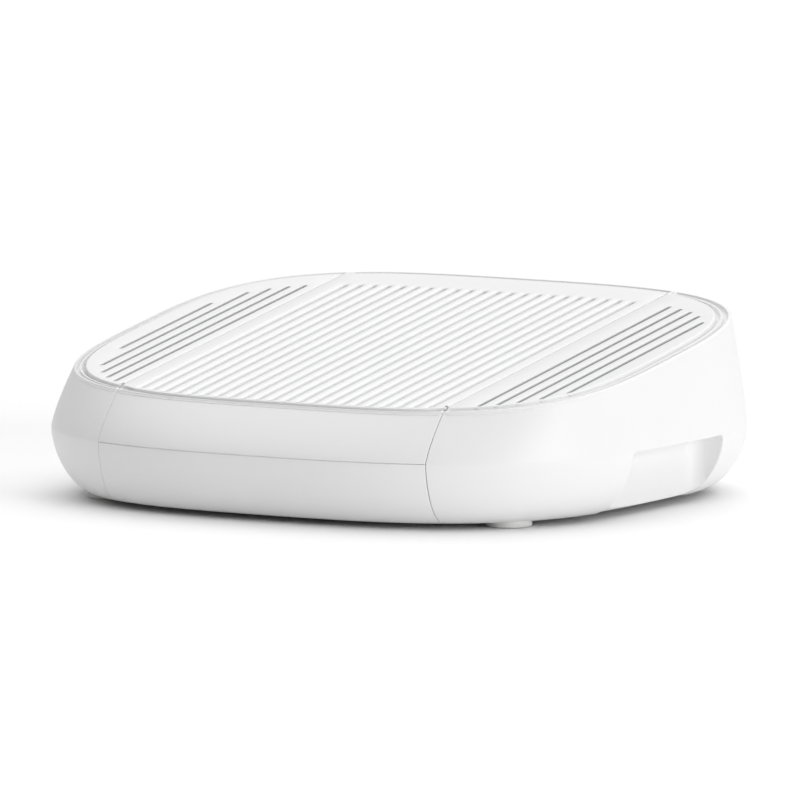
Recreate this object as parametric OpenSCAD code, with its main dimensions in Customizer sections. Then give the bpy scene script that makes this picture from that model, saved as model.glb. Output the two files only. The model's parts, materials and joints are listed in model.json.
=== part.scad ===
// Litter step: a low ramped step with a lift-off ridged tread, slotted wings and a pull-out tray.
// Millimetres. +X is the right-hand side, -Y the front, +Z up.
// The origin lies on the floor, under the middle of the body.

/* [Body] */
// Width at the belt, the widest level of the body
body_w = 450; // [430:1:470]
// Depth at the belt
body_d = 404; // [390:1:420]
// Height of the belt above the floor
belt_z = 46; // [44:0.5:48]
// Height of the underside above the floor
base_z = 4; // [3.5:0.5:5]
// Width of the underside
base_w = 383; // [375:1:390]
// Depth of the underside
base_d = 364; // [360:1:370]
// Wall thickness of the shells
wall = 2.6; // [2.2:0.1:3]

/* [Top] */
// Width of the top between its rims
rim_w = 420; // [410:1:430]
// Depth of the top, seen from above
rim_d = 336; // [330:1:340]
// Height of the top's plane above the floor at the middle
top_z = 104.5; // [100:0.5:110]
// Slope of the top, low at the front
tilt = 9; // [8:0.25:10]
// Thickness of the top plates
plate = 3; // [2.6:0.1:3.4]
// Height of the tread surface above the rim
pad_h = 1.5; // [1:0.1:2]

/* [Tread pattern] */
// Distance of the two long seams from the middle
seam_x = 127; // [125:0.5:129]
// Gap of the seams
seam_gap = 0.6; // [0.4:0.1:0.8]
// Number of grooves in the centre tread
groove_count = 22; // [20:1:22]
// Distance from one groove to the next
groove_pitch = 10.68; // [10.4:0.01:10.7]
// Width of the plain band left of the first groove
band_w = 14.6; // [14:0.1:15]
// Width of a groove
groove_w = 4.2; // [3.6:0.1:4.6]
// Depth of a groove
groove_depth = 2.4; // [2:0.1:2.8]
// Number of through slots in each wing
slot_count = 5; // [4:1:5]
// Width of a through slot
slot_w = 3.4; // [3:0.1:4]

/* [Grip recesses] */
// Length of a grip recess
grip_len = 120; // [100:1:120]
// Depth of a grip recess, measured from the belt
grip_depth = 27; // [22:0.5:28]
// Height of the top of a grip recess above the floor
grip_top = 47.5; // [46:0.5:50]

/* [Tray] */
// Outer width of the tray
tray_w = 232; // [226:1:232]
// Outer depth of the tray
tray_d = 300; // [290:1:304]
// Outer height of the tray
tray_h = 33; // [30:0.5:34]

/* [Feet] */
// Diameter of a foot
foot_d = 31; // [28:0.5:32]
// Sideways distance of the feet from the middle
foot_x = 155; // [150:0.5:156]
// Front-to-back distance of the feet from the middle
foot_y = 122; // [118:0.5:123]

/* [Hidden] */

around = 72;             // points round the loft of the body
belt_n = 2.73;           // squareness of the three outlines
rim_n = 3.4;
rim_x = 4;               // middle of the rim
rim_y = -3;
base_n = 3;
upper_bulge = 1.3;       // how late the wall turns in above the belt
lower_bulge = 1.72;      // roundness of the wall below the belt
floor_ratio = 0.85;      // wall thickness at the underside, as a share of the wall
rail_x = 118.5;          // inner face of the rail webs
rail_t = 2.5;            // thickness of the rails
rail_y = 149;            // half the length of the rails
flange_w = 12;           // width of the rails' flanges
flange_drop = 0.4;       // gap between the rails' flanges and the top plates
peg_x = 124;             // pegs and pads, on the rails' flanges
peg_y = 120;
peg_d = 4.8;
rail_screw_y = 110;
beam_y = -158;           // front of the cross beam
beam_h = 16;
beam_screw_y = -143;
pan_t = 3;               // thickness of the base pan
runner_h = 2;            // height of the tray runners
pan_top = base_z + pan_t;
tray_z = pan_top + runner_h + 0.1;
tray_front_y = -156;     // outside of the tray's front wall
tray_wall = 2;
field_x = 10;            // middle of the area that the slots and grooves fill
field_w = 382;
field_front = 166;       // how far it reaches forwards and backwards
field_rear = 124;
pad_inset = 6;           // distance of the raised surface from the rim
field_n = 3.8;           // squareness of its outline
left_slot_x = -137.5;    // slot nearest to the seam in each wing
right_slot_x = 146.3;
left_slot_pitch = 10.4;
right_slot_pitch = 10.9;
grip_y = -9;             // middle of the grip recesses
post_d = 9;              // screw posts that the base pan is held to
post_h = 28;
panel_post_x = 100;
panel_post_y = 160;
window_y0 = -132;        // opening in each rail, which the chute passes through
window_y1 = 110;
window_h = 22;
screw_d = 4;
screw_head_d = 7.6;
rail_screw_x = rail_x + 7;
beam_screw_z = belt_z + 10;
tray_screw_x = [-80, 0, 80];
tray_screw_z = 26;
foot_sink = 1;           // depth of the pockets for the feet
foot_lip = 0.6;          // height of the step round the bottom of a foot
runner_x = 92;           // inner edge of the tray runners
runner_w = 12;
runner_y = 140;          // half the length of the runners
magnet_x = 70;
magnet_w = 20;
far = 300;               // half size of the cutting blocks

shell_color = "white";
inner_color = "gainsboro";
tray_color = "whitesmoke";
soft_color = "dimgray";
steel_color = "silver";

// --- Shape of the body ------------------------------------------------------------

// Point of a rounded square outline with half axes a and b, at angle t
function outline(t, a, b, n) =
    let (r = pow(pow(abs(cos(t)), n) + pow(abs(sin(t)), n), -1 / n))
    [a * cos(t) * r, b * sin(t) * r];

function rim_point(t, inset) =
    outline(t, rim_w / 2 - inset, rim_d / 2 - inset, rim_n) + [rim_x, rim_y];
function belt_point(t, inset) = outline(t, body_w / 2 - inset, body_d / 2 - inset, belt_n);
function base_point(t, inset) = outline(t, base_w / 2 - inset, base_d / 2 - inset, base_n);
function top_height(y) = top_z + y * tan(tilt);

// Point of the body's wall, at level u: -1 at the underside, 0 at the belt, 1 at the rim.
// A form that is smaller by inset also ends higher at the bottom.
function wall_point(t, u, inset, drop) =
    let (
        mid = belt_point(t, inset),
        end = u > 0 ? rim_point(t, inset) : base_point(t, inset),
        turn = u > 0 ? pow(u, upper_bulge)
            : 1 - pow(max(0, 1 - pow(-u, lower_bulge)), 1 / lower_bulge),
        xy = mid + (end - mid) * turn,
        z = u > 0 ? belt_z + u * (top_height(end[1]) - drop - belt_z)
            : belt_z + u * (belt_z - base_z - inset * floor_ratio)
    ) [xy[0], xy[1], z];

upper_levels = [0.25, 0.45, 0.62, 0.76, 0.89, 1];
lower_levels = [-1, -0.96, -0.86, -0.7, -0.45, 0];
levels = concat(lower_levels, upper_levels);

// Closed solid with the body's outer form, made smaller by inset and lower at the top by drop
module body_form(inset = 0, drop = 0) {
    last = len(levels) - 1;
    rings = [for (u = levels) for (i = [0 : around - 1])
        wall_point(360 * (i + 0.5) / around, u, inset, drop)];
    sides = [for (k = [0 : last - 1]) for (i = [0 : around - 1])
        let (j = (i + 1) % around)
        [k * around + i, (k + 1) * around + i, (k + 1) * around + j, k * around + j]];
    floor_face = [for (i = [0 : around - 1]) i];
    top_face = [for (i = [around - 1 : -1 : 0]) last * around + i];
    polyhedron(rings, concat(sides, [floor_face, top_face]), convexity = 4);
}

// Blocks that cut the body along its seams
module between_x(x0, x1) { translate([x0, -far, -far]) cube([x1 - x0, 2 * far, 2 * far]); }
module between_y(y0, y1) { translate([-far, y0, -far]) cube([2 * far, y1 - y0, 2 * far]); }
module between_z(z0, z1) { translate([-far, -far, z0]) cube([2 * far, 2 * far, z1 - z0]); }

// Moves its children into the sloping frame of the top
module on_top() { translate([0, 0, top_z]) rotate([tilt, 0, 0]) children(); }
module top_slab(z0, z1) { on_top() between_z(z0, z1); }

// Hollow body wall with a thicker top and an open underside
module body_wall() {
    difference() {
        body_form();
        body_form(wall, plate);
        translate([0, 0, base_z - 1]) linear_extrude(1 + wall) base_area(wall);
    }
}

module base_area(inset) {
    polygon([for (i = [0 : around - 1]) base_point(360 * (i + 0.5) / around, inset)]);
}

// --- Tread pattern ----------------------------------------------------------------

// Share of the patterned area's full length that a slot or groove at x may have
function field_share(x) =
    let (q = min(1, abs(x - field_x) / (field_w / 2)))
    pow(1 - pow(q, field_n), 1 / field_n);
function left_slot(i) = left_slot_x - i * left_slot_pitch;
function right_slot(i) = right_slot_x + i * right_slot_pitch;
function groove_x(i) = -seam_x + band_w + groove_w / 2 + i * groove_pitch;

// Flat slot with round ends, from y0 to y1
module slot_area(x, y0, y1, w) {
    translate([x - w / 2, y0 + w / 2]) square([w, y1 - y0 - w]);
    for (y = [y0 + w / 2, y1 - w / 2]) translate([x, y]) circle(d = w, $fn = 24);
}

// Cuts one slot or groove into the top
module cut_slot(x, w, z0) {
    reach = field_share(x) / cos(tilt);
    on_top() translate([0, 0, z0]) linear_extrude(20)
        slot_area(x, -field_front * reach, field_rear * reach, w);
}

// Raised surface inside the rim
module pad_area(inset) {
    polygon([for (i = [0 : around - 1])
        let (p = rim_point(360 * (i + 0.5) / around, inset)) [p[0], p[1] / cos(tilt)]]);
}

module pad(x0, x1) {
    intersection() {
        on_top() translate([0, 0, -1]) linear_extrude(1 + pad_h) pad_area(pad_inset);
        between_x(x0, x1);
    }
}

// --- Side shells ------------------------------------------------------------------

// In the modules below, side is 1 for the right-hand shell and -1 for the left-hand one

module grip_block(side, grow) {
    x0 = body_w / 2 - grip_depth - grow;
    translate([side > 0 ? x0 : -x0 - far, grip_y - grip_len / 2 - grow, base_z - 2])
        cube([far, grip_len + 2 * grow, grip_top - base_z + 2 + grow]);
}

// Screw post on the base pan, with a rib that joins it to the body wall beside it
module wall_post(x, y, direction) {
    translate([x, y, pan_top]) cylinder(d = post_d, h = post_h, $fn = 32);
    intersection() {
        body_form(wall / 2);
        translate([x, y, pan_top]) rotate(direction) translate([0, -1.5, 0]) cube([90, 3, post_h]);
    }
}

// Shallow round pocket in the underside, which a foot sits in
module foot_pocket(x, y) {
    translate([x, y, base_z - 1]) cylinder(d = foot_d + 0.6, h = 1 + foot_sink, $fn = 48);
}

module post_pilot(x, y) {
    translate([x, y, base_z - 1]) cylinder(d = screw_d, h = 20, $fn = 32);
}

// Wing of the body on one side, without its slots
module wing(side) {
    x0 = side > 0 ? seam_x + seam_gap / 2 : -far;
    x1 = side > 0 ? far : -seam_x - seam_gap / 2;
    difference() {
        union() {
            intersection() {
                union() {
                    body_wall();
                    intersection() {
                        body_form();
                        grip_block(side, wall);
                    }
                }
                between_x(x0, x1);
            }
            pad(x0, x1);
            for (s = [-1, 1])
                wall_post(side * foot_x, s * foot_y, 90 - side * (90 - s * 40));
        }
        grip_block(side, 0);
        for (y = [-foot_y, foot_y]) {
            post_pilot(side * foot_x, y);
            foot_pocket(side * foot_x, y);
        }
    }
}

module left_side_shell() {
    color(shell_color) difference() {
        wing(-1);
        for (i = [0 : slot_count - 1]) cut_slot(left_slot(i), slot_w, -10);
    }
}

module right_side_shell() {
    color(shell_color) difference() {
        wing(1);
        for (i = [0 : slot_count - 1]) cut_slot(right_slot(i), slot_w, -10);
    }
}

module rear_panel() {
    color(shell_color) difference() {
        union() {
            intersection() {
                body_wall();
                between_x(-seam_x + seam_gap / 2, seam_x - seam_gap / 2);
                between_y(60, far);
                top_slab(-far, -plate - seam_gap / 2);
            }
            for (x = [-panel_post_x, panel_post_x]) wall_post(x, panel_post_y, 90);
        }
        for (x = [-panel_post_x, panel_post_x]) post_pilot(x, panel_post_y);
    }
}

// --- Chassis ----------------------------------------------------------------------

module base_pan() {
    color(inner_color) difference() {
        translate([0, 0, base_z]) linear_extrude(pan_t) base_area(wall + 0.1);
        for (x = [-foot_x, foot_x], y = [-foot_y, foot_y]) {
            foot_pocket(x, y);
            translate([x, y, base_z - 1]) cylinder(d = screw_d + 0.5, h = 10, $fn = 32);
        }
        for (x = [-panel_post_x, panel_post_x])
            translate([x, panel_post_y, base_z - 1]) cylinder(d = screw_d + 0.5, h = 10, $fn = 32);
        for (s = [-1, 1], y = [-rail_screw_y, rail_screw_y])
            translate([s * rail_screw_x, y, base_z - 1]) cylinder(d = 3.6, h = 10, $fn = 32);
    }
}

// Side view of a rail: web, and the window that the chute passes through
module rail_side() {
    difference() {
        polygon([[-rail_y, pan_top], [rail_y, pan_top],
            [rail_y, top_height(rail_y) - plate - 2], [-rail_y, top_height(-rail_y) - plate - 2]]);
        translate([window_y0, tray_z + tray_h + 2]) square([window_y1 - window_y0, window_h]);
        translate([beam_screw_y, beam_screw_z]) circle(d = 3, $fn = 32);
    }
}

module rail() {
    difference() {
        union() {
            translate([rail_x, 0, 0]) rotate([90, 0, 90]) linear_extrude(rail_t) rail_side();
            translate([rail_x, -rail_y, pan_top]) cube([flange_w, 2 * rail_y, rail_t]);
            intersection() {
                on_top() translate([rail_x, -far, -plate - flange_drop - rail_t])
                    cube([flange_w, 2 * far, rail_t]);
                between_y(-rail_y, rail_y);
            }
        }
        for (y = [-rail_screw_y, rail_screw_y])
            translate([rail_screw_x, y, base_z]) cylinder(d = 3.2, h = 12, $fn = 32);
        for (y = [-peg_y, peg_y])
            translate([peg_x, y, 60]) cylinder(d = peg_d + 0.2, h = 80, $fn = 32);
    }
}

module left_rail() { color(inner_color) mirror([1, 0, 0]) rail(); }
module right_rail() { color(inner_color) rail(); }

// Beam across the front, above the tray
module front_beam() {
    color(inner_color) difference() {
        union() {
            translate([-rail_x, beam_y, belt_z + 1]) cube([2 * rail_x, 3, beam_h]);
            translate([-rail_x, beam_y, belt_z + 1]) cube([2 * rail_x, 12, 2.4]);
            for (x = [-rail_x, rail_x - 3])
                translate([x, beam_y, belt_z + 1]) cube([3, 20, beam_h]);
        }
        for (x = [-rail_x - 1, rail_x - 4])
            translate([x, beam_screw_y, beam_screw_z]) rotate([0, 90, 0])
                cylinder(d = 3.4, h = 5, $fn = 32);
    }
}

// Sloping plate under a wing's slots, which leads what falls through to the tray
chute_low = [rail_x - 8, tray_z + tray_h + 3];
chute_high = [205, 73];

module chute_plate() {
    run = chute_high[0] - chute_low[0];
    slope = atan2(chute_high[1] - chute_low[1], run);
    translate([chute_low[0], window_y0 + 1, chute_low[1]]) rotate([0, -slope, 0])
        cube([run / cos(slope), window_y1 - window_y0 - 2, 1.8]);
}

module left_litter_chute() {
    color(inner_color) intersection() {
        body_form(wall + 0.5, plate);
        mirror([1, 0, 0]) chute_plate();
    }
}

module right_litter_chute() {
    color(inner_color) intersection() {
        body_form(wall + 0.5, plate);
        chute_plate();
    }
}

module runner() {
    translate([runner_x, -runner_y, pan_top]) cube([runner_w, 2 * runner_y, runner_h]);
}

module left_tray_runner() { color(soft_color) mirror([1, 0, 0]) runner(); }
module right_tray_runner() { color(soft_color) runner(); }

magnet_y = tray_front_y + tray_d + 1.6;

module tray_magnets() {
    color(steel_color) for (x = [-magnet_x, magnet_x])
        translate([x - magnet_w / 2, magnet_y, pan_top]) cube([magnet_w, 6, 18]);
}

module tread_pads() {
    color(soft_color) for (s = [-1, 1], y = [-90, 0, 90])
        on_top() translate([s * peg_x, y, -plate - flange_drop])
            cylinder(d = 5, h = flange_drop - 0.05, $fn = 24);
}

// --- Feet and fasteners -----------------------------------------------------------

module foot(x, y) {
    color(soft_color) translate([x, y, 0]) difference() {
        union() {
            cylinder(d = foot_d - 2, h = 2 * foot_lip, $fn = 48);
            translate([0, 0, foot_lip])
                cylinder(d = foot_d, h = base_z + foot_sink - foot_lip, $fn = 48);
        }
        translate([0, 0, -1]) cylinder(d = screw_head_d + 1, h = 3.4, $fn = 32);
        translate([0, 0, -1]) cylinder(d = screw_d + 0.5, h = 10, $fn = 32);
    }
}

module front_left_foot() { foot(-foot_x, -foot_y); }
module front_right_foot() { foot(foot_x, -foot_y); }
module rear_left_foot() { foot(-foot_x, foot_y); }
module rear_right_foot() { foot(foot_x, foot_y); }

// Pan-head screw, pointing up, with its head's underside at the origin
module screw(d, head_d, length) {
    cylinder(d = d, h = length, $fn = 32);
    translate([0, 0, -1.6]) difference() {
        cylinder(d = head_d, h = 1.6, $fn = 32);
        for (a = [0, 90]) rotate(a) translate([-head_d / 3, -0.5, -1]) cube([head_d / 1.5, 1, 1.8]);
    }
}

module corner_screws() {
    color(steel_color) for (x = [-foot_x, foot_x], y = [-foot_y, foot_y])
        translate([x, y, 2.4]) screw(screw_d, screw_head_d, 18);
}

module panel_screws() {
    color(steel_color) for (x = [-panel_post_x, panel_post_x])
        translate([x, panel_post_y, base_z]) screw(screw_d, screw_head_d, 16);
}

module rail_screws() {
    color(steel_color) for (s = [-1, 1], y = [-rail_screw_y, rail_screw_y])
        translate([s * rail_screw_x, y, base_z]) screw(3.2, 6, 8);
}

module beam_screws() {
    color(steel_color) for (s = [-1, 1])
        translate([s * (rail_x - 3), beam_screw_y, beam_screw_z]) rotate([0, s * 90, 0])
            screw(3, 5.6, 5.5);
}

// --- Lift-off tread ---------------------------------------------------------------

module tread_cover() {
    half = seam_x - seam_gap / 2;
    color(shell_color) difference() {
        union() {
            intersection() {
                body_wall();
                between_x(-half, half);
                union() {
                    top_slab(-plate, far);
                    intersection() {
                        between_y(-far, -140);
                        between_z(belt_z + seam_gap / 2, far);
                    }
                }
            }
            pad(-half, half);
        }
        for (i = [0 : groove_count - 1]) cut_slot(groove_x(i), groove_w, pad_h - groove_depth);
    }
}

// Pegs under the tread, which drop into the rails
module tread_pegs() {
    color(inner_color) for (s = [-1, 1], y = [-peg_y, peg_y]) intersection() {
        translate([s * peg_x, y, top_height(y) - plate - 8]) cylinder(d = peg_d, h = 12, $fn = 32);
        top_slab(-far, -plate);
    }
}

// --- Tray -------------------------------------------------------------------------

module litter_tray() {
    color(tray_color) difference() {
        translate([-tray_w / 2, tray_front_y, tray_z]) cube([tray_w, tray_d, tray_h]);
        translate([-tray_w / 2 + tray_wall, tray_front_y + tray_wall, tray_z + tray_wall])
            cube([tray_w - 2 * tray_wall, tray_d - 2 * tray_wall, tray_h]);
        for (x = tray_screw_x)
            translate([x, tray_front_y - 1, tray_screw_z]) rotate([-90, 0, 0])
                cylinder(d = 3.4, h = 5, $fn = 32);
    }
}

module tray_front() {
    half = seam_x - seam_gap / 2;
    color(shell_color) difference() {
        union() {
            intersection() {
                body_wall();
                between_x(-half, half);
                between_y(-far, -120);
                between_z(base_z - 1, belt_z - seam_gap / 2);
            }
            intersection() {
                body_form(wall / 2);
                union() for (x = tray_screw_x)
                    translate([x - 6, -far, tray_screw_z - 6]) cube([12, far + tray_front_y, 12]);
            }
        }
        for (x = tray_screw_x)
            translate([x, tray_front_y - 12, tray_screw_z]) rotate([-90, 0, 0])
                cylinder(d = 3, h = 20, $fn = 32);
    }
}

module tray_front_screws() {
    color(steel_color) for (x = tray_screw_x)
        translate([x, tray_front_y + tray_wall, tray_screw_z]) rotate([90, 0, 0])
            screw(3, 6, 10);
}

module tray_strikers() {
    color(steel_color) for (x = [-magnet_x, magnet_x])
        translate([x - magnet_w / 2, tray_front_y + tray_d, tray_z + 3]) cube([magnet_w, 1.2, 14]);
}

base_pan();
left_side_shell();
right_side_shell();
rear_panel();
left_rail();
right_rail();
front_beam();
left_litter_chute();
right_litter_chute();
left_tray_runner();
right_tray_runner();
tray_magnets();
tread_pads();
front_left_foot();
front_right_foot();
rear_left_foot();
rear_right_foot();
corner_screws();
panel_screws();
rail_screws();
beam_screws();
tread_cover();
tread_pegs();
litter_tray();
tray_front();
tray_strikers();
tray_front_screws();
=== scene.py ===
"""Litter step: smooth moulded shells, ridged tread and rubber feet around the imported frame."""

import json
import math

import bmesh
import bpy
import numpy as np
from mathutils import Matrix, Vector
from mathutils.geometry import delaunay_2d_cdt


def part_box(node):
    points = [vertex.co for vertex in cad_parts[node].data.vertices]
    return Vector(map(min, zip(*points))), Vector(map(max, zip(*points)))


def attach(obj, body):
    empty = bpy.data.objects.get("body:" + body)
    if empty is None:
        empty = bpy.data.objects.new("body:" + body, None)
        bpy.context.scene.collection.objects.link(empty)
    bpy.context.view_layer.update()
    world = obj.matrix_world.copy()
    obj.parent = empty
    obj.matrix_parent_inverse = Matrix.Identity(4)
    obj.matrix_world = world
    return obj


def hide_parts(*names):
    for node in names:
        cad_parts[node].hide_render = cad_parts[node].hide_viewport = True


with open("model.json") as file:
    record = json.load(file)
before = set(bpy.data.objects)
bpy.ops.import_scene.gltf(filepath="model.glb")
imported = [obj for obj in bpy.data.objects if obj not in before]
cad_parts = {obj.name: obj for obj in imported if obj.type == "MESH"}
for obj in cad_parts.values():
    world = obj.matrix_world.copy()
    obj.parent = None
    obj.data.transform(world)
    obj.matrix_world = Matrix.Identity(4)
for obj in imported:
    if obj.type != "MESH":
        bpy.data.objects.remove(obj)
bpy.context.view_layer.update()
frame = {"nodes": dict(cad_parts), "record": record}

MM = 0.001


def node_box(node):
    """Lowest and highest corner of a CAD node, in millimetres."""
    low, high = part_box(node)
    return np.array(low) / MM, np.array(high) / MM


# --- Driving dimensions, in millimetres -----------------------------------------------

RIGHT_LOW, RIGHT_HIGH = node_box("right_side_shell")
TREAD_LOW, TREAD_HIGH = node_box("tread_cover")
FRONT_HIGH = node_box("tray_front")[1]
REAR_HIGH = node_box("rear_panel")[1]

HALF_WIDTH = RIGHT_HIGH[0]
HALF_DEPTH = REAR_HIGH[1]
BASE_Z = RIGHT_LOW[2]
BELT_Z = (TREAD_LOW[2] + FRONT_HIGH[2]) / 2
SEAM_X = (TREAD_HIGH[0] + RIGHT_LOW[0]) / 2
HAIRLINE = 0.13  # half the width of a seam
TREAD_EDGE = SEAM_X - HAIRLINE
WING_EDGE = SEAM_X + HAIRLINE

BASE_HALF = (191.5, 182)
UNDER_INSETS = (2.5, 0.8)
UNDER_ROWS = len(UNDER_INSETS)
RIM_HALF = (210, 168)
RIM_MIDDLE = (4, -3)
TOP_Z = 104.5
TILT = math.radians(9)
BELT_N, RIM_N, BASE_N = 2.73, 3.4, 3.0
UPPER_BULGE, LOWER_BULGE = 1.3, 1.72
WALL = 2.6

PAD_H = 1.5
RIM_DROP = 1.2
RIM_ROUND = 1.8
INSET_FRONT, INSET_REAR = 0.4, 1.0
RIM_ZONE = 11.0
PAD_RISE = (8.6, 10.4)  # distances inside the rim's edge between which the pad rises
RIM_GROOVES = (3.6, 8.0)
RIM_GROOVE_HALF = 1.4
RIM_GROOVE_DEPTH = 3.0
RIM_GROOVE_STOP = (2.2, 3.4)  # distances from a seam between which the grooves begin
EDGE_R = 0.5
TOP_SEAM_R = 1.1
TOP_SEAM_DEPTH = 2.6
TOP_SEAM_START = 5  # distance inside the rim's edge at which a seam has its full width

GROOVE_COUNT = 22
GROOVE_PITCH = 10.68
GROOVE_W = 3.4
GROOVE_DEPTH = 3.6
GROOVE_SHOULDER_W, GROOVE_SHOULDER_H = 3.2, 1.4
GROOVE_TAPER = 0.9
FIRST_GROOVE = 16.7
SLOT_COUNT = 5
SLOT_W = 3.4
SLOT_EDGE_W, SLOT_EDGE_H = 0.6, 0.5
SLOT_WALL = 1.7
LEFT_SLOT_X, LEFT_SLOT_PITCH = -137.5, 10.4
RIGHT_SLOT_X, RIGHT_SLOT_PITCH = 146.3, 10.9
FIELD_X = 10
FIELD_HALF_WIDTH = 191
FIELD_REACH = {-1: 166, 1: 124}
FIELD_N = 3.8
FIELD_MARGIN = 1.2

GRIP_Y = (-69, 51)
GRIP_TOP = 47.5
GRIP_BACK = 198
GRIP_FILLET = 12
GRIP_CORNER = 4.5
CORNER_BLEND_Y, CORNER_BLEND_Z = 5, 11
GRIP_EDGE = 0.9
GRIP_REACH = 20  # how far inwards of its back wall the recess still affects the wall


# --- Form of the body -----------------------------------------------------------------


def outline(t, half, n):
    """Rounded square outline at the angles t."""
    r = (np.abs(np.cos(t)) ** n + np.abs(np.sin(t)) ** n) ** (-1 / n)
    return np.stack([half[0] * np.cos(t) * r, half[1] * np.sin(t) * r], axis=-1)


def rim_size(inset, side=1):
    """Half axes and middle of the rim's outline at a distance inside its edge."""
    half = (RIM_HALF[0] - inset, RIM_HALF[1] - (INSET_REAR + INSET_FRONT) / 2 * inset)
    return half, (side * RIM_MIDDLE[0], RIM_MIDDLE[1] - (INSET_REAR - INSET_FRONT) / 2 * inset)


def rim_outline(t, inset=0.0, side=1):
    """Outline at a distance inside the rim's edge; its beads crowd together at the front."""
    half, middle = rim_size(inset, side)
    return outline(t, half, RIM_N) + np.array(middle)


def top_height(y):
    """Height of the sloping plane of the rim over y."""
    return TOP_Z + y * math.tan(TILT)


def top_point(x, y, h):
    """Point at height h above the sloping plane of the rim, over x and y."""
    x, y, h = np.broadcast_arrays(x, y, h)
    return np.stack([x, y - h * math.sin(TILT), top_height(y) + h * math.cos(TILT)], axis=-1)


def wall_top(t):
    """Height at which the outer wall meets the rim."""
    return top_height(rim_outline(t)[..., 1]) - RIM_DROP


def wall_points(t, u, side=1):
    """Points of the outer wall: u is -1 at the underside, 0 at the belt and 1 at the rim."""
    upper = np.broadcast_to(u, t.shape) > 0
    share = np.broadcast_to(np.abs(u), t.shape)
    belt = outline(t, (HALF_WIDTH, HALF_DEPTH), BELT_N)
    end = np.where(upper[..., None], rim_outline(t, 0, side), outline(t, BASE_HALF, BASE_N))
    round_under = 1 - np.maximum(0, 1 - share**LOWER_BULGE) ** (1 / LOWER_BULGE)
    turn = np.where(upper, share**UPPER_BULGE, round_under)
    z = BELT_Z + share * (np.where(upper, wall_top(t), BASE_Z) - BELT_Z)
    xy = belt + (end - belt) * turn[..., None]
    return np.concatenate([xy, z[..., None]], axis=-1)


def under_points(t, inset):
    """Points of the narrow flange under the body."""
    half = (BASE_HALF[0] - inset, BASE_HALF[1] - inset)
    return np.column_stack([outline(t, half, BASE_N), np.full(len(t), BASE_Z)])


def smooth(low, high, x):
    """Smooth step from 0 at low to 1 at high."""
    t = np.clip((x - low) / (high - low), 0, 1)
    return t * t * (3 - 2 * t)


def rim_height(d, to_seam):
    """Height of the rim at distance d inside its edge: two beads with two grooves behind them."""
    edge = 1 - np.sqrt(1 - np.clip(1 - d / RIM_ROUND, 0, 1) ** 2)
    groove = sum(1 - np.minimum(1, np.abs(d - c) / RIM_GROOVE_HALF) ** 4 for c in RIM_GROOVES)
    depth = RIM_GROOVE_DEPTH * smooth(*RIM_GROOVE_STOP, to_seam)
    return PAD_H * smooth(*PAD_RISE, d) - RIM_DROP * edge - depth * groove


def rim_points(t, d, seam, side=1):
    """Points of the rim at distance d inside its edge, on a piece that ends at the given seam."""
    xy = rim_outline(t, d, side)
    to_seam = np.abs(np.abs(xy[:, 0]) - seam)
    return top_point(xy[:, 0], xy[:, 1], rim_height(d, to_seam))


# --- Rows and columns of the moulded sheets -------------------------------------------

FAR = 99.0  # stands for a distance at which no edge is rounded
SOLVE_SAMPLES = 3001
EDGE_STEPS = np.array([0, 0.06, 0.17, 0.33, 0.5])
SEAM_EDGE_STEPS = np.concatenate([EDGE_STEPS, [0.7, 0.9, TOP_SEAM_R]])
SEAM_STEPS = np.concatenate([
    SEAM_EDGE_STEPS,
    [1.8, 2.2, 2.5, 2.8, 3.1, 3.4, 4.2, 5.5, 7.5, 10.5],
])
RIM_STEPS = np.concatenate([
    [0, 0.05, 0.18, 0.4, 0.75, 1.2, 1.7],
    np.arange(2.04, RIM_ZONE + 0.01, 0.32),
])


def level_at(z, top=None):
    """Level u of a height on the wall, whose top is that of the middle of a side if not given."""
    top = top_height(0) - RIM_DROP if top is None else top
    return np.where(z > BELT_Z, (z - BELT_Z) / (top - BELT_Z), (z - BELT_Z) / (BELT_Z - BASE_Z))


def rim_rows(seam, side=1):
    return [lambda t, d=d: rim_points(t, d, seam, side) for d in RIM_STEPS[1:]]


def wall_rows(levels, side=1):
    return [lambda t, u=u: wall_points(t, u, side) for u in levels]


def under_rows():
    return [lambda t, inset=inset: under_points(t, inset) for inset in UNDER_INSETS]


def lower_levels(count):
    """Levels from the underside to the belt, closer together where the wall turns under."""
    return -np.sin(np.linspace(np.pi / 2, 0, count)) ** 0.8


def solve(row, start, end, axis, targets):
    """Angles between start and end at which the row's x or y takes the target values."""
    t = np.linspace(start, end, SOLVE_SAMPLES)
    values = row(t)[:, axis]
    if values[0] > values[-1]:
        t, values = t[::-1], values[::-1]
    return np.interp(targets, values, t)


def half_turn(front):
    """First and last angle of the front or the rear half of an outline."""
    return (-np.pi, 0) if front else (0, np.pi)


def arc_grid(rows, xs, front):
    """Grid of a centre piece, whose columns run at the given x."""
    start, end = half_turn(front)
    return np.array([row(solve(row, start, end, 0, xs)) for row in rows])


def outward_normals(grid):
    """Normals of a grid, turned away from the middle of the body."""
    along = np.gradient(grid, axis=1)
    up = np.gradient(grid, axis=0)
    n = np.cross(along, up)
    n /= np.linalg.norm(n, axis=-1, keepdims=True) + 1e-12
    middle = np.array([0, 0, 55.0])
    return n if np.sum(n * (grid - middle)) > 0 else -n


def rounding(distance, radius):
    """How far a surface drops back at a distance from an edge of the given radius."""
    gap = np.clip(1 - distance / radius, 0, 1)
    return radius * (1 - np.sqrt(1 - gap**2))


def seam_rounding(distance, wall_count):
    """Drop beside the seams for each row of a sheet: wall_count rows of the wall, then the rim's.

    On the top the edges are wider and deeper, so the seam reads as a dark line.
    """
    on_rim = smooth(0, TOP_SEAM_START, RIM_STEPS[1:])
    on_top = np.concatenate([np.zeros(wall_count), on_rim])[:, None]
    radius = EDGE_R + (TOP_SEAM_R - EDGE_R) * on_top
    return rounding(distance, radius) * (1 + (TOP_SEAM_DEPTH - 1) * on_top)


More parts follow.
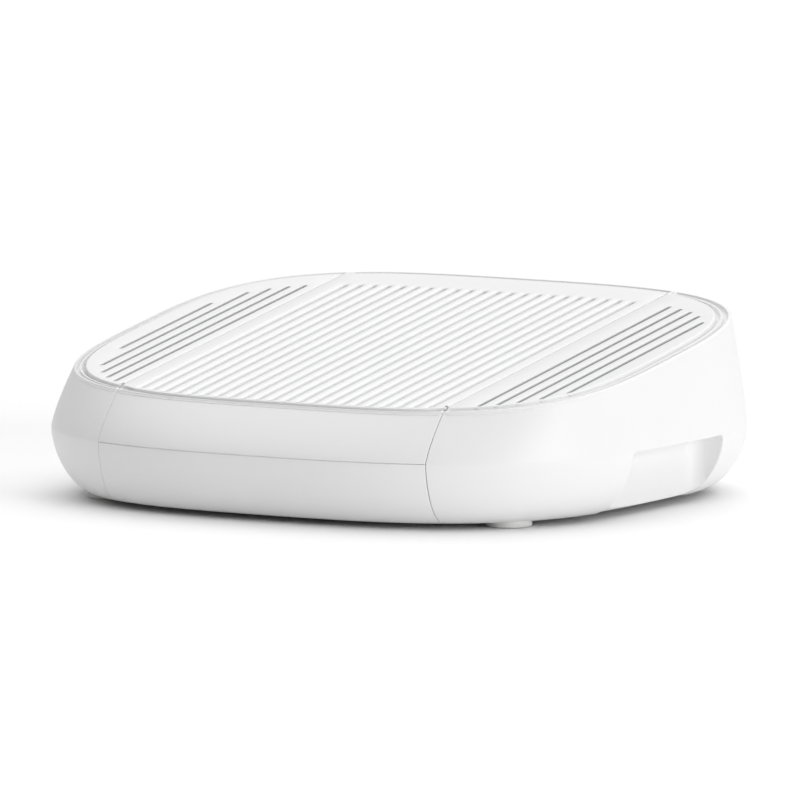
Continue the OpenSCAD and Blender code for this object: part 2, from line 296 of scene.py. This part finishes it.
def round_edges(grid, beside_seam, from_row):
    """Rounds the edges of a sheet, given the drop at its seams and the distance from its end."""
    drop = np.maximum(beside_seam, rounding(from_row, EDGE_R)[:, None])
    return grid - outward_normals(grid) * drop[..., None]


# --- Mesh building --------------------------------------------------------------------


SHARP_ANGLE = math.radians(40)
WELD = 0.03
SLIVER = 0.005


class Sheet:
    """Collects grids and loops of one moulded sheet, then makes it a thick, smooth object."""

    def __init__(self):
        self.points = []
        self.faces = []

    def add(self, points):
        start = len(self.points)
        self.points.extend(np.asarray(points).reshape(-1, 3).tolist())
        return start

    def grid(self, grid, keep=None):
        rows, cols = grid.shape[:2]
        start = self.add(grid)
        for i in range(rows - 1):
            for j in range(cols - 1):
                if keep is None or keep[i, j]:
                    a = start + i * cols + j
                    self.faces.append((a, a + 1, a + cols + 1, a + cols))

    def loops(self, loops, fill):
        """Joins closed loops with equal numbers of points; fill closes the last one."""
        count = len(loops[0])
        starts = [self.add(loop) for loop in loops]
        for a, b in zip(starts, starts[1:]):
            for j in range(count):
                k = (j + 1) % count
                self.faces.append((a + j, a + k, b + k, b + j))
        if fill:
            self.faces.append(tuple(starts[-1] + j for j in range(count)))

    def build(self, name, thickness, outside):
        """outside is a point that the sheet's outer face looks towards."""
        mesh = bpy.data.meshes.new(name)
        mesh.from_pydata([tuple(c * MM for c in p) for p in self.points], [], self.faces)
        bm = bmesh.new()
        bm.from_mesh(mesh)
        bmesh.ops.remove_doubles(bm, verts=bm.verts, dist=WELD * MM)
        bmesh.ops.dissolve_degenerate(bm, dist=SLIVER * MM, edges=bm.edges)
        bmesh.ops.recalc_face_normals(bm, faces=bm.faces)
        eye = Vector(outside) * MM
        faces_out = sum(
            f.normal.dot(eye - f.calc_center_median()) * f.calc_area() for f in bm.faces
        )
        if faces_out < 0:
            bmesh.ops.reverse_faces(bm, faces=bm.faces)
        bm.to_mesh(mesh)
        bm.free()
        obj = bpy.data.objects.new(name, mesh)
        bpy.context.scene.collection.objects.link(obj)
        if thickness:
            thicken(obj, thickness)
        finish_mesh(obj)
        return obj


def apply_modifiers(obj):
    evaluated = obj.evaluated_get(bpy.context.evaluated_depsgraph_get())
    mesh = bpy.data.meshes.new_from_object(evaluated)
    obj.modifiers.clear()
    obj.data = mesh


def thicken(obj, thickness):
    """Gives a sheet the thickness of its wall, inwards from its outer face."""
    solid = obj.modifiers.new("wall", "SOLIDIFY")
    solid.thickness = thickness * MM
    solid.offset = -1
    solid.use_rim = True
    apply_modifiers(obj)


def finish_mesh(obj):
    obj.data.shade_smooth()
    obj.data.set_sharp_from_angle(angle=SHARP_ANGLE)


# --- Slots and grooves ----------------------------------------------------------------


def field_end(x, sign):
    """How far back (sign 1) or forward (sign -1) a slot or groove at x may reach."""
    q = min(1.0, abs(x - FIELD_X) / FIELD_HALF_WIDTH)
    end = FIELD_REACH[sign] * (1 - q**FIELD_N) ** (1 / FIELD_N)
    half, middle = rim_size(RIM_ZONE + FIELD_MARGIN)
    p = min(1.0, abs(x - middle[0]) / half[0])
    limit = sign * middle[1] + half[1] * (1 - p**RIM_N) ** (1 / RIM_N)
    return sign * min(end, limit)


def stadium(x, y0, y1, radius, along=40, around=14):
    """Loop round a straight slot whose end circles are centred at y0 and y1."""
    turn = np.linspace(0, np.pi, around + 1)
    ys = np.linspace(y0, y1, along + 1)[1:-1]
    right = np.column_stack([np.full(len(ys), x + radius), ys])
    rear = np.column_stack([x + radius * np.cos(turn), y1 + radius * np.sin(turn)])
    left = np.column_stack([np.full(len(ys), x - radius), ys[::-1]])
    front = np.column_stack([x - radius * np.cos(turn), y0 - radius * np.sin(turn)])
    return np.concatenate([right, rear, left, front])


class Opening:
    """A slot or groove in the top, with the profile of its edge."""

    def __init__(self, x, width, profile, side=1):
        self.x = side * x
        self.half = width / 2
        self.y0 = field_end(x, -1) + self.half
        self.y1 = field_end(x, 1) - self.half
        self.profile = profile
        self.reach = self.half + profile[0][0]

    def loop(self, offset):
        return stadium(self.x, self.y0, self.y1, self.half + offset)

    def covers(self, x, y):
        dy = np.clip(y, self.y0, self.y1) - y
        return np.hypot(x - self.x, dy) < self.reach - 0.01

    def rings(self):
        loops = []
        for offset, height in self.profile:
            xy = self.loop(offset)
            loops.append(top_point(xy[:, 0], xy[:, 1], PAD_H + height))
        return loops


def rounded_profile(width, drop, steps):
    """Profile from width outside an edge down to the edge, as a quarter of an ellipse."""
    a = np.linspace(0, np.pi / 2, steps)
    return [(width * (1 - math.sin(v)), -drop * (1 - math.cos(v))) for v in a]


SLOT_PROFILE = rounded_profile(SLOT_EDGE_W, SLOT_EDGE_H, 6) + [(0.0, -SLOT_WALL)]
GROOVE_PROFILE = rounded_profile(GROOVE_SHOULDER_W, GROOVE_SHOULDER_H, 10) + [
    (
        -GROOVE_TAPER * (1 - math.cos(a)),
        -GROOVE_SHOULDER_H - (GROOVE_DEPTH - GROOVE_SHOULDER_H) * math.sin(a),
    )
    for a in np.linspace(0.3, np.pi / 2, 5)
]
STRIP_COUNT = 60  # steps along the straight edges beside the seams


def top_field(sheet, edge, openings, fill):
    """Flat part of the top inside the given edge loop, with its slots or grooves."""
    points, edges = [], []
    loops = [edge] + [o.loop(o.profile[0][0]) for o in openings]
    for loop in loops:
        start = len(points)
        points.extend(Vector(p) for p in loop)
        edges.extend((start + j, start + (j + 1) % len(loop)) for j in range(len(loop)))
    made, _, faces, _, _, _ = delaunay_2d_cdt(points, edges, [], 0, 1e-4)
    xy = np.array([tuple(p) for p in made])
    start = sheet.add(top_point(xy[:, 0], xy[:, 1], PAD_H))
    for face in faces:
        x, y = xy[list(face)].mean(axis=0)
        if not any(o.covers(x, y) for o in openings):
            sheet.faces.append(tuple(start + v for v in face))
    for opening in openings:
        sheet.loops(opening.rings(), fill)


def seam_strip(sheet, ends):
    """Rounded long edge of the top beside a seam. ends are its points on the rim's inner row."""
    s = np.linspace(0, 1, STRIP_COUNT + 1)[:, None]
    rows = []
    for front, rear in ends:
        rows.append(np.array(front) * (1 - s) + np.array(rear) * s)
    sheet.grid(np.array(rows))


# --- Centre tread ---------------------------------------------------------------------

# Heights of wall that one level stands for: at the rear and at the front above the belt, and at
# the front below it
REAR_RISE, FRONT_RISE, TRAY_RISE = 80.0, 36, 42
REAR_SEAM_DROP = 3.3


def rear_seam_level():
    """Level of the seam between the tread and the rear panel, just below the rim."""
    rim_edge = top_height(RIM_HALF[1])
    return float(level_at(rim_edge - REAR_SEAM_DROP, rim_edge - RIM_DROP))


def tread_columns():
    """The x of the columns of the centre pieces, closer together at the seams."""
    inner = np.arange(-TREAD_EDGE + SEAM_STEPS[-1] + 3, TREAD_EDGE - SEAM_STEPS[-1] - 1, 3.0)
    return np.concatenate([-TREAD_EDGE + SEAM_STEPS, inner, TREAD_EDGE - SEAM_STEPS[::-1]])


def seam_distance(xs, edge):
    return edge - np.abs(xs)


def front_levels(start, count):
    """Levels of the tread's front wall, with the steps of a rounded edge at its start."""
    steps = EDGE_STEPS / FRONT_RISE
    return np.concatenate([start + steps, np.linspace(start + steps[-1], 1, count)[1:]])


def groove_x(i):
    return -SEAM_X + FIRST_GROOVE + i * GROOVE_PITCH


def make_tread():
    sheet = Sheet()
    xs = tread_columns()
    from_seam = seam_distance(xs, TREAD_EDGE)
    start = HAIRLINE / (top_height(-RIM_HALF[1]) - BELT_Z)
    levels = front_levels(start, 26)
    far_away = np.full(len(RIM_STEPS) - 1, FAR)
    edge_rows = np.concatenate([(levels - start) * FRONT_RISE, far_away])
    front = arc_grid(wall_rows(levels) + rim_rows(TREAD_EDGE), xs, True)
    front = round_edges(front, seam_rounding(from_seam, len(levels)), edge_rows)
    sheet.grid(front)

    rear_start = rear_seam_level() + 2 * HAIRLINE / REAR_RISE
    steps = np.concatenate([EDGE_STEPS, [0.9, 1.3]])
    rear_levels = np.concatenate([rear_start + steps / REAR_RISE, [1]])
    edge_rows = np.concatenate([(rear_levels - rear_start) * REAR_RISE, far_away])
    rear = arc_grid(wall_rows(rear_levels) + rim_rows(TREAD_EDGE), xs, False)
    rear = round_edges(rear, seam_rounding(from_seam, len(rear_levels)), edge_rows)
    sheet.grid(rear)

    first, last = len(SEAM_EDGE_STEPS) - 1, len(xs) - len(SEAM_EDGE_STEPS)
    for side in (list(range(first + 1)), list(range(len(xs) - 1, last - 1, -1))):
        seam_strip(sheet, [(front[-1, j], rear[-1, j]) for j in side])
    front_edge = plan_row(xs, True)[first : last + 1]
    rear_edge = plan_row(xs, False)[first : last + 1]
    edge = closed_edge(front_edge, rear_edge)
    openings = [Opening(groove_x(i), GROOVE_W, GROOVE_PROFILE) for i in range(GROOVE_COUNT)]
    top_field(sheet, edge, openings, fill=True)
    return sheet.build("tread_moulding", WALL, (0, -200, 400))


def plan_row(xs, front):
    """Plan points of the rim's inner row at the given x."""
    def row(t):
        return rim_outline(t, RIM_STEPS[-1])

    start, end = half_turn(front)
    return row(solve(row, start, end, 0, xs))


def closed_edge(front_edge, rear_edge):
    """Loop along the front, up the right seam, back along the rear and down the left seam."""
    s = np.linspace(0, 1, STRIP_COUNT + 1)[1:-1, None]
    right = front_edge[-1] * (1 - s) + rear_edge[-1] * s
    left = rear_edge[0] * (1 - s) + front_edge[0] * s
    return np.concatenate([front_edge, right, rear_edge[::-1], left])


# --- Wings ----------------------------------------------------------------------------


OPENING_STEPS = np.array([
    -12, -9.5, -8, -6.4, -4.8, -3.6, -2.6, -1.7, -0.9, -0.35,
    0, 0.12, 0.3, 0.55, 0.9, 1.6, 2.8, 5,
])
ARC_COUNT = 44
GRIP_STEPS = [0, 0.03, 0.1, 0.3, 0.6, 1.0]


def wing_sides():
    """The y of the columns on a wing's side, closer together at the ends of the grip recess."""
    low = GRIP_Y[0] - OPENING_STEPS[::-1]
    high = GRIP_Y[1] + OPENING_STEPS
    middle = np.linspace(low[-1], high[0], 24)[1:-1]
    return np.concatenate([low, middle, high])


def wing_levels():
    """Levels of a wing's wall, closer together at the top of the grip recess."""
    near = level_at(GRIP_TOP + OPENING_STEPS)
    lower = lower_levels(26)
    upper = np.linspace(near[-1], 1, 32)[1:]
    return np.concatenate([lower[lower < near[0] - 0.02], near, upper])


def outside_grip(y, z):
    """Signed distance from the rounded outline of the grip recess, which is open below."""
    r = GRIP_CORNER
    across = np.maximum(GRIP_Y[0] - y, y - GRIP_Y[1]) + r
    up = z - GRIP_TOP + r
    beyond = np.hypot(np.maximum(across, 0), np.maximum(up, 0))
    return beyond + np.minimum(np.maximum(across, up), 0) - r


def round_corners(t, points, side):
    """Wall points moved down near the two top corners of the recess, which makes these round."""
    y, z = points[..., 1], points[..., 2]
    inside = np.minimum(y - GRIP_Y[0], GRIP_Y[1] - y)
    r = GRIP_CORNER
    arc = r - np.sqrt(np.maximum(0, r**2 - np.clip(r - inside, 0, r) ** 2))
    drop = np.where(inside > 0, arc, r * np.clip(1 + inside / CORNER_BLEND_Y, 0, 1))
    drop *= np.clip(1 - np.abs(z - GRIP_TOP) / CORNER_BLEND_Z, 0, 1)
    return wall_points(t, level_at(z - drop, wall_top(t)), side)


def pocket(part):
    """Surface of the grip recess behind a part of the wing's wall."""
    depth_in = np.clip(-outside_grip(part[..., 1], part[..., 2]), 0, GRIP_FILLET)
    r = GRIP_FILLET
    back = GRIP_BACK + r - np.sqrt(np.maximum(0, r**2 - (r - depth_in) ** 2))
    inner = part.copy()
    inner[..., 0] = np.minimum(part[..., 0], back)
    return inner


def wing_angles(row, side_y):
    """Angles of a wing's columns on one row, from its front seam round to its rear seam."""
    xs = WING_EDGE + SEAM_STEPS
    front = solve(row, -np.pi / 2, 0, 0, xs)
    side = solve(row, -np.pi / 2, np.pi / 2, 1, side_y)
    rear = solve(row, np.pi / 2, 0, 0, xs)[::-1]
    return np.concatenate([
        front,
        np.linspace(front[-1], side[0], ARC_COUNT)[1:-1],
        side,
        np.linspace(side[-1], rear[0], ARC_COUNT)[1:-1],
        rear,
    ])


def wing_grid(levels, side_y, side):
    """Outer surface of a wing from the underside up to the rim's inner row, edges rounded."""
    rows = under_rows() + wall_rows(levels, side) + rim_rows(WING_EDGE, side)
    angles = np.array([wing_angles(row, side_y) for row in rows])
    grid = np.array([row(t) for row, t in zip(rows, angles)])
    walls = slice(UNDER_ROWS, UNDER_ROWS + len(levels))
    grid[walls] = round_corners(angles[walls], grid[walls], side)

    far_columns = np.full(grid.shape[1] - 2 * len(SEAM_STEPS), FAR)
    from_seam = np.concatenate([SEAM_STEPS, far_columns, SEAM_STEPS[::-1]])
    near_side = grid[..., 0] > GRIP_BACK - GRIP_REACH
    from_grip = np.where(near_side, outside_grip(grid[..., 1], grid[..., 2]), FAR)
    normals = outward_normals(grid)
    grid = grid - normals * seam_rounding(from_seam, UNDER_ROWS + len(levels))[..., None]
    return grid - normals * rounding(np.maximum(from_grip, 0), GRIP_EDGE)[..., None]


def add_wing_walls(sheet, grid, levels, side_y):
    """Adds a wing's outer surface to a sheet, with the grip recess let into it."""
    top_row = UNDER_ROWS + int(np.argmin(np.abs(levels - level_at(GRIP_TOP))))
    first_side = len(SEAM_STEPS) + ARC_COUNT - 2
    col0, col1 = (first_side + int(np.argmin(np.abs(side_y - y))) for y in GRIP_Y)
    outer = grid[: top_row + 1, col0 : col1 + 1]
    inner = pocket(outer)
    keep = np.ones((grid.shape[0] - 1, grid.shape[1] - 1), bool)
    keep[:top_row, col0:col1] = False
    sheet.grid(grid, keep)
    sheet.grid(inner)
    s = np.array(GRIP_STEPS)[:, None, None]
    for end in (np.s_[:, 0], np.s_[:, -1], np.s_[-1]):
        sheet.grid(outer[end] * (1 - s) + inner[end] * s)


def wing_edge_loop(row):
    """Plan loop round the flat part of a wing's top: the rim's inner row, closed at the seam."""
    skip = len(SEAM_EDGE_STEPS) - 1
    plan = row[skip : len(row) - skip, :2].copy()
    plan[:, 1] += PAD_H * math.sin(TILT)
    s = np.linspace(0, 1, STRIP_COUNT + 1)[1:-1, None]
    return np.concatenate([plan, plan[-1] * (1 - s) + plan[0] * s])


def make_wing(name, slots, side):
    """Wing with slots at the given x. With side -1 it's the left one, mirrored at the end."""
    levels, side_y = wing_levels(), wing_sides()
    grid = wing_grid(levels, side_y, side)
    sheet = Sheet()
    add_wing_walls(sheet, grid, levels, side_y)
    last = grid[-1]
    seam_strip(sheet, [(last[j], last[-1 - j]) for j in range(len(SEAM_EDGE_STEPS))])
    openings = [Opening(x, SLOT_W, SLOT_PROFILE, side) for x in slots]
    top_field(sheet, wing_edge_loop(last), openings, fill=False)
    wing = sheet.build(name, WALL, (400, 0, 500))
    if side < 0:
        mirror_x(wing)
    return wing


def mirror_x(obj):
    bm = bmesh.new()
    bm.from_mesh(obj.data)
    bmesh.ops.scale(bm, vec=(-1, 1, 1), verts=bm.verts)
    bmesh.ops.reverse_faces(bm, faces=bm.faces)
    bm.to_mesh(obj.data)
    bm.free()
    finish_mesh(obj)


# --- Rear panel and tray front --------------------------------------------------------


def make_rear():
    sheet = Sheet()
    xs = tread_columns()
    top = rear_seam_level()
    levels = np.concatenate([
        lower_levels(24)[:-1],
        np.linspace(0, top - EDGE_STEPS[-1] / REAR_RISE, 30),
        top - EDGE_STEPS[::-1][1:] / REAR_RISE,
    ])
    rows = under_rows() + wall_rows(levels)
    from_top = np.concatenate([[FAR] * UNDER_ROWS, (top - levels) * REAR_RISE])
    beside_seam = rounding(seam_distance(xs, TREAD_EDGE), EDGE_R)
    grid = round_edges(arc_grid(rows, xs, False), beside_seam, from_top)
    sheet.grid(grid)
    return sheet.build("rear_moulding", WALL, (0, 500, 200))


def make_tray_front():
    sheet = Sheet()
    xs = tread_columns()
    top = float(level_at(BELT_Z - HAIRLINE))
    lower = lower_levels(30)
    levels = np.concatenate([lower[lower < top - 0.03], top - EDGE_STEPS[::-1] / TRAY_RISE])
    rows = under_rows() + wall_rows(levels)
    from_top = np.concatenate([[FAR] * UNDER_ROWS, (top - levels) * TRAY_RISE])
    beside_seam = rounding(seam_distance(xs, TREAD_EDGE), EDGE_R)
    grid = round_edges(arc_grid(rows, xs, True), beside_seam, from_top)
    sheet.grid(grid)
    return sheet.build("tray_front_moulding", WALL, (0, -500, 0))


# --- Feet -----------------------------------------------------------------------------


FOOT_HOLE_R, FOOT_HEAD_R = 2.2, 4.4
FOOT_ROUND = 1.4


def make_foot(node):
    """Round foot with a recess for the screw's head, as a profile turned about its axis."""
    low, high = node_box(node)
    centre = (low + high) / 2
    radius = (high[0] - low[0]) / 2
    top = high[2] - low[2]
    profile = [(FOOT_HOLE_R, 2.6), (FOOT_HEAD_R, 2.6), (FOOT_HEAD_R + 0.2, 0.5), (5.2, 0.25)]
    profile += [(radius - 3.4, 0.25), (radius - 2.9, 0.0)]
    profile += [
        (radius - FOOT_ROUND * (1 - math.sin(a)), FOOT_ROUND * (1 - math.cos(a)))
        for a in np.linspace(0.1, np.pi / 2, 8)
    ]
    profile += [(radius, top - 0.5), (radius - 0.5, top)]
    profile += [(FOOT_HOLE_R, top), (FOOT_HOLE_R, 2.6)]
    turn = np.linspace(0, 2 * np.pi, 97)
    grid = np.array([
        [(centre[0] + r * math.cos(a), centre[1] + r * math.sin(a), z) for a in turn]
        for r, z in profile
    ])
    sheet = Sheet()
    sheet.grid(grid)
    return sheet.build(node + "_rubber", 0, (centre[0], centre[1], -500))


# --- Materials ------------------------------------------------------------------------


def plastic(name, color, roughness, grain, relief, variation=0.015):
    """Moulded plastic: fine spark-eroded grain, slight change of tone and of gloss."""
    mat = bpy.data.materials.new(name)
    mat.use_nodes = True
    nodes, links = mat.node_tree.nodes, mat.node_tree.links
    shader = nodes["Principled BSDF"]
    shader.inputs["Specular IOR Level"].default_value = 0.42
    coordinates = nodes.new("ShaderNodeTexCoord")

    cloud = nodes.new("ShaderNodeTexNoise")
    cloud.inputs["Scale"].default_value = 9
    cloud.inputs["Detail"].default_value = 3
    tone = nodes.new("ShaderNodeMapRange")
    tone.inputs["To Min"].default_value = 1 - variation
    tone.inputs["To Max"].default_value = 1 + variation
    tint = nodes.new("ShaderNodeVectorMath")
    tint.operation = "SCALE"
    tint.inputs[0].default_value = color
    links.new(coordinates.outputs["Object"], cloud.inputs["Vector"])
    links.new(cloud.outputs["Fac"], tone.inputs["Value"])
    links.new(tone.outputs["Result"], tint.inputs["Scale"])
    links.new(tint.outputs["Vector"], shader.inputs["Base Color"])

    sheen = nodes.new("ShaderNodeTexNoise")
    sheen.inputs["Scale"].default_value = 160
    sheen.inputs["Detail"].default_value = 4
    gloss = nodes.new("ShaderNodeMapRange")
    gloss.inputs["To Min"].default_value = roughness - 0.05
    gloss.inputs["To Max"].default_value = roughness + 0.06
    links.new(coordinates.outputs["Object"], sheen.inputs["Vector"])
    links.new(sheen.outputs["Fac"], gloss.inputs["Value"])
    links.new(gloss.outputs["Result"], shader.inputs["Roughness"])

    texture = nodes.new("ShaderNodeTexNoise")
    texture.inputs["Scale"].default_value = grain
    texture.inputs["Detail"].default_value = 6
    bump = nodes.new("ShaderNodeBump")
    bump.inputs["Strength"].default_value = relief
    bump.inputs["Distance"].default_value = 0.00015
    links.new(coordinates.outputs["Object"], texture.inputs["Vector"])
    links.new(texture.outputs["Fac"], bump.inputs["Height"])
    links.new(bump.outputs["Normal"], shader.inputs["Normal"])
    return mat


def plated_steel():
    mat = plastic("plated_steel", (0.72, 0.72, 0.74), 0.34, 2600, 0.12)
    mat.node_tree.nodes["Principled BSDF"].inputs["Metallic"].default_value = 1
    return mat


MATERIALS = {
    "shell_plastic": plastic("shell_plastic", (0.86, 0.86, 0.86), 0.44, 1700, 0.18),
    # inner_plastic is painted darker (0.6) than the white plastic it is: painted shade, so the
    # inside seen through the slots reads dark
    "inner_plastic": plastic("inner_plastic", (0.6, 0.6, 0.6), 0.52, 1300, 0.22),
    "tray_plastic": plastic("tray_plastic", (0.82, 0.82, 0.815), 0.4, 1500, 0.15),
    "runner_plastic": plastic("runner_plastic", (0.13, 0.13, 0.135), 0.3, 1500, 0.1),
    "foot_rubber": plastic("foot_rubber", (0.72, 0.72, 0.71), 0.75, 1100, 0.35),
    "soft_rubber": plastic("soft_rubber", (0.08, 0.08, 0.08), 0.8, 1100, 0.35),
    "plated_steel": plated_steel(),
}


def paint(obj, slot):
    """Gives an object the material of its slot and no other."""
    obj.data.materials.clear()
    obj.data.materials.append(MATERIALS[slot])


def place(obj, body, slot, *nodes):
    """Paints a piece and lets it ride on a body in place of CAD nodes."""
    paint(obj, slot)
    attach(obj, body)
    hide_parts(*nodes)


# --- Building the object --------------------------------------------------------------

for part in frame["record"]["subparts"]:
    paint(frame["nodes"][part["node"]], part["material_slot"])

place(make_tread(), "tread", "shell_plastic", "tread_cover")
place(make_rear(), "housing", "shell_plastic", "rear_panel")
place(make_tray_front(), "tray", "shell_plastic", "tray_front")
right_slots = [RIGHT_SLOT_X + i * RIGHT_SLOT_PITCH for i in range(SLOT_COUNT)]
left_slots = [LEFT_SLOT_X - i * LEFT_SLOT_PITCH for i in range(SLOT_COUNT)]
place(make_wing("right_moulding", right_slots, 1), "housing", "shell_plastic", "right_side_shell")
place(make_wing("left_moulding", left_slots, -1), "housing", "shell_plastic", "left_side_shell")
for node in ("front_left_foot", "front_right_foot", "rear_left_foot", "rear_right_foot"):
    place(make_foot(node), "housing", "foot_rubber", node)


# --- Floor, light and camera ----------------------------------------------------------

VIEW_AZIMUTH = math.radians(30.05)
VIEW_ELEVATION = math.radians(6.7)
VIEW_DISTANCE = 11.3
VIEW_WIDTH = 0.5424
VIEW_SHIFT, VIEW_RISE = 0.0003, 0.0168
SENSOR_WIDTH = 36


def direction(azimuth, elevation):
    """Unit vector towards an azimuth, counted from the front to the right, and an elevation."""
    return Vector((
        math.sin(azimuth) * math.cos(elevation),
        -math.cos(azimuth) * math.cos(elevation),
        math.sin(elevation),
    ))


def make_camera():
    back = direction(VIEW_AZIMUTH, VIEW_ELEVATION)
    data = bpy.data.cameras.new("camera")
    data.sensor_width = SENSOR_WIDTH
    data.lens = SENSOR_WIDTH * VIEW_DISTANCE / VIEW_WIDTH
    data.clip_end = 100
    camera = bpy.data.objects.new("camera", data)
    bpy.context.scene.collection.objects.link(camera)
    turn = back.to_track_quat("Z", "Y")
    target = Vector((0, 0, BELT_Z * MM)) + turn @ Vector((VIEW_SHIFT, VIEW_RISE, 0))
    camera.rotation_mode = "QUATERNION"
    camera.rotation_quaternion = turn
    camera.location = target + back * VIEW_DISTANCE
    bpy.context.scene.camera = camera


def make_floor():
    """Wide white floor, a little below the feet."""
    bm = bmesh.new()
    bmesh.ops.create_grid(bm, x_segments=2, y_segments=2, size=30)
    mesh = bpy.data.meshes.new("floor")
    bm.to_mesh(mesh)
    bm.free()
    floor = bpy.data.objects.new("floor", mesh)
    floor.location.z = -0.0002
    bpy.context.scene.collection.objects.link(floor)
    mesh.materials.append(plastic("floor_paint", (0.97, 0.97, 0.97), 0.8, 400, 0.05, 0.004))


def soft_sun(name, azimuth, elevation, spread, strength):
    """Distant light as wide as a large soft box, so the floor is lit evenly."""
    data = bpy.data.lights.new(name, "SUN")
    data.angle = math.radians(spread)
    data.energy = strength
    light = bpy.data.objects.new(name, data)
    light.rotation_mode = "QUATERNION"
    back = direction(math.radians(azimuth), math.radians(elevation))
    light.rotation_quaternion = back.to_track_quat("Z", "Y")
    bpy.context.scene.collection.objects.link(light)


def make_world():
    world = bpy.data.worlds.new("studio")
    bpy.context.scene.world = world
    world.use_nodes = True
    background = world.node_tree.nodes["Background"]
    background.inputs["Color"].default_value = (1, 1, 1, 1)
    background.inputs["Strength"].default_value = 0.285


make_camera()
make_floor()
make_world()
soft_sun("rear_light", 190, 70, 90, 2.32)
soft_sun("right_light", 75, 12, 25, 1.2)
bpy.context.scene.view_settings.view_transform = "Standard"
